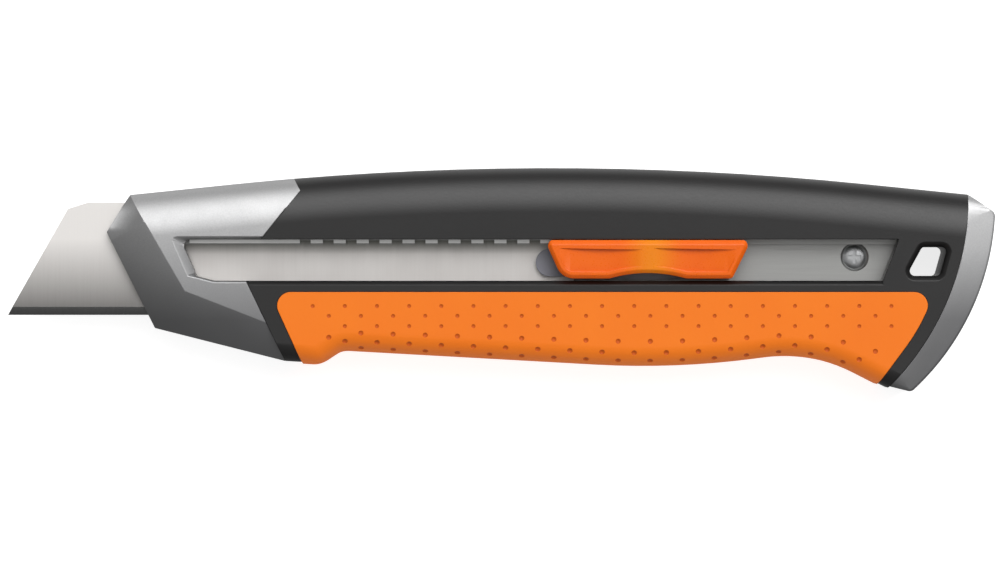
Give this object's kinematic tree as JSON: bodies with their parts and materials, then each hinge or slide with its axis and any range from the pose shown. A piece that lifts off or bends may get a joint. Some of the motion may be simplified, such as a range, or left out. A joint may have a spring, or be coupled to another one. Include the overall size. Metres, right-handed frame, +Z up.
{
  "type": "utility knife",
  "caption": "Heavy-duty sliding-blade utility knife: cast nose and tail cap, plastic shells with soft grip pads, and a thumb slider that runs a wide snap-off blade out of a notched steel rail.",
  "frame": {"origin": "under the middle of the knife's bounding box, on the surface that its right side lies on", "axes": "+X from the blade's point to the tail, +Y from the cutting edge to the spine, +Z up out of the left side that carries the thumb slider"},
  "size_m": [0.2192, 0.0496, 0.0194],
  "materials": {
    "cast_metal": "fine shot-blasted die casting",
    "shell_plastic": "fine spark-eroded texture",
    "grip_rubber": "soft matte moulding with small dimples",
    "blade_steel": "fine ground face with a darker honed edge",
    "rail_steel": "bright rolled sheet",
    "carrier_plastic": "plain moulding",
    "button_plastic": "satin moulding",
    "screw_steel": "zinc-plated",
    "spring_steel": "bright spring strip"
  },
  "bodies": {
    "handle": {"nose_casting": "cast_metal", "left_shell": "shell_plastic", "right_shell": "shell_plastic", "left_grip_pad": "grip_rubber", "right_grip_pad": "grip_rubber", "tail_cap": "cast_metal", "blade_rail": "rail_steel", "rail_screw": "screw_steel", "shell_screws": "screw_steel", "tail_screws": "screw_steel"},
    "slider": {"slide_plate": "rail_steel", "slider_carrier": "carrier_plastic", "carrier_rivets": "screw_steel", "blade_pin": "screw_steel", "blade": "blade_steel", "lock_spring": "spring_steel", "button_spring": "spring_steel"},
    "button": {"thumb_button": "button_plastic"}
  },
  "joints": [
    {"name": "blade_slide", "type": "slide", "parent": "handle", "child": "slider", "axis": [-1, 0, 0], "range_m": [-0.0326, 0.074], "deforming": ["lock_spring"]},
    {"name": "button_press", "type": "slide", "parent": "slider", "child": "button", "axis": [0, 0, -1], "range_m": [0, 0.0008], "stiffness_N_per_m": 800, "springref_m": -0.0015, "deforming": ["button_spring", "lock_spring"]}
  ]
}
